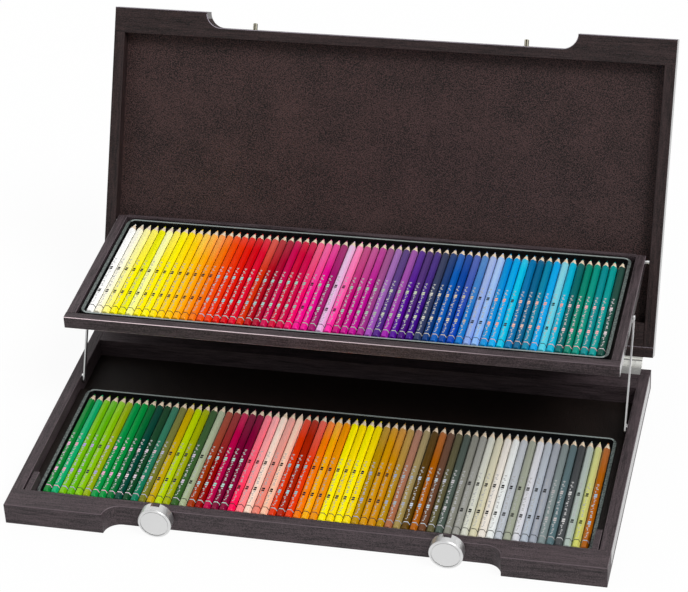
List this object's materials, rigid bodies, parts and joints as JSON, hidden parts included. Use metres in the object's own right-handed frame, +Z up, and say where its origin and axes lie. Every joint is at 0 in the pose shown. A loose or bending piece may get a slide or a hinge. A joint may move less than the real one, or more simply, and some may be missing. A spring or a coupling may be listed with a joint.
{
  "type": "hinged pencil case with swing-up tray",
  "caption": "Flat dark wooden case with a hinged lid, a swing-up upper tray, two rows of coloured pencils and two turn-knob latches.",
  "frame": {"origin": "middle of the base's underside, on the surface the case stands on", "axes": "+X to the right along the case's width, +Y from the front rail to the hinges, +Z up"},
  "size_m": [0.608, 0.5155, 0.326],
  "materials": {
    "bright_metal": "satin turned",
    "brushed_metal": "fine brushed",
    "dark_panel": "dark stained thin board, satin",
    "dark_wood": "dark stained open-grain wood, satin",
    "insert_plastic": "dark thin formed insert",
    "pencils_blue": "gloss paint on wood",
    "pencils_brown": "gloss paint on wood",
    "pencils_green": "gloss paint on wood",
    "pencils_grey": "gloss paint on wood",
    "pencils_metallic": "metallic paint on wood",
    "pencils_ochre": "gloss paint on wood",
    "pencils_olive": "gloss paint on wood",
    "pencils_pink": "gloss paint on wood",
    "pencils_plum": "gloss paint on wood",
    "pencils_red": "gloss paint on wood",
    "pencils_teal": "gloss paint on wood",
    "pencils_terracotta": "gloss paint on wood",
    "pencils_violet": "gloss paint on wood",
    "pencils_yellow": "gloss paint on wood"
  },
  "bodies": {
    "base": {"base_back_rail": "dark_wood", "base_bottom_panel": "dark_panel", "base_front_rail": "dark_wood", "base_hinge_batten": "dark_wood", "base_hinge_screws": "brushed_metal", "base_left_rest_block": "dark_wood", "base_left_side": "dark_wood", "base_left_spacer": "dark_panel", "base_right_rest_block": "dark_wood", "base_right_side": "dark_wood", "base_right_spacer": "dark_panel", "hinge_left_base_leaf": "brushed_metal", "hinge_left_pin": "brushed_metal", "hinge_right_base_leaf": "brushed_metal", "hinge_right_pin": "brushed_metal", "link_base_pins": "brushed_metal", "lower_insert": "insert_plastic", "lower_pencils_brown": "pencils_brown", "lower_pencils_green": "pencils_green", "lower_pencils_grey": "pencils_grey", "lower_pencils_metallic": "pencils_metallic", "lower_pencils_ochre": "pencils_ochre", "lower_pencils_olive": "pencils_olive", "lower_pencils_plum": "pencils_plum", "lower_pencils_terracotta": "pencils_terracotta"},
    "lid": {"hinge_left_lid_leaf": "brushed_metal", "hinge_right_lid_leaf": "brushed_metal", "lid_back_rail": "dark_wood", "lid_front_rail": "dark_wood", "lid_hinge_batten": "dark_wood", "lid_hinge_fixing_pins": "brushed_metal", "lid_left_latch_pin": "bright_metal", "lid_left_side": "dark_wood", "lid_panel": "dark_panel", "lid_right_latch_pin": "bright_metal", "lid_right_side": "dark_wood", "tray_pivot_pins": "brushed_metal"},
    "knob_left": {"left_knob": "bright_metal", "left_knob_spindle": "bright_metal"},
    "link_left": {"link_left": "brushed_metal"},
    "link_right": {"link_right": "brushed_metal"},
    "tray": {"link_tray_pins": "brushed_metal", "tray_back_rail": "dark_wood", "tray_bottom_panel": "dark_panel", "tray_front_rail": "dark_wood", "tray_left_side": "dark_wood", "tray_right_side": "dark_wood", "upper_insert": "insert_plastic", "upper_pencils_blue": "pencils_blue", "upper_pencils_pink": "pencils_pink", "upper_pencils_red": "pencils_red", "upper_pencils_teal": "pencils_teal", "upper_pencils_violet": "pencils_violet", "upper_pencils_yellow": "pencils_yellow"},
    "knob_right": {"right_knob": "bright_metal", "right_knob_spindle": "bright_metal"}
  },
  "joints": [
    {"name": "lid_hinge", "type": "hinge", "parent": "base", "child": "lid", "pos_m": [0, 0.1742, 0.02407], "axis": [1, 0, 0], "range_deg": [0, 117.5]},
    {"name": "tray_pivot", "type": "hinge", "parent": "lid", "child": "tray", "pos_m": [0, 0.22759, 0.1177], "axis": [1, 0, 0], "range_deg": [-117.5, 0]},
    {"name": "left_link_swing", "type": "hinge", "parent": "base", "child": "link_left", "pos_m": [0, 0.0658, 0.02148], "axis": [1, 0, 0], "range_deg": [0, 117.5]},
    {"name": "right_link_swing", "type": "hinge", "parent": "base", "child": "link_right", "pos_m": [0, 0.0658, 0.02148], "axis": [1, 0, 0], "range_deg": [0, 117.5]},
    {"name": "left_knob_turn", "type": "hinge", "parent": "base", "child": "knob_left", "pos_m": [-0.147, -0.158, 0.0176], "axis": [0, 1, 0], "range_deg": [0, 90]},
    {"name": "right_knob_turn", "type": "hinge", "parent": "base", "child": "knob_right", "pos_m": [0.147, -0.158, 0.0176], "axis": [0, 1, 0], "range_deg": [0, 90]}
  ],
  "couplings": [
    {"joint": "tray_pivot", "follows": "lid_hinge", "ratio": -1},
    {"joint": "left_link_swing", "follows": "lid_hinge", "ratio": 1},
    {"joint": "right_link_swing", "follows": "lid_hinge", "ratio": 1}
  ]
}
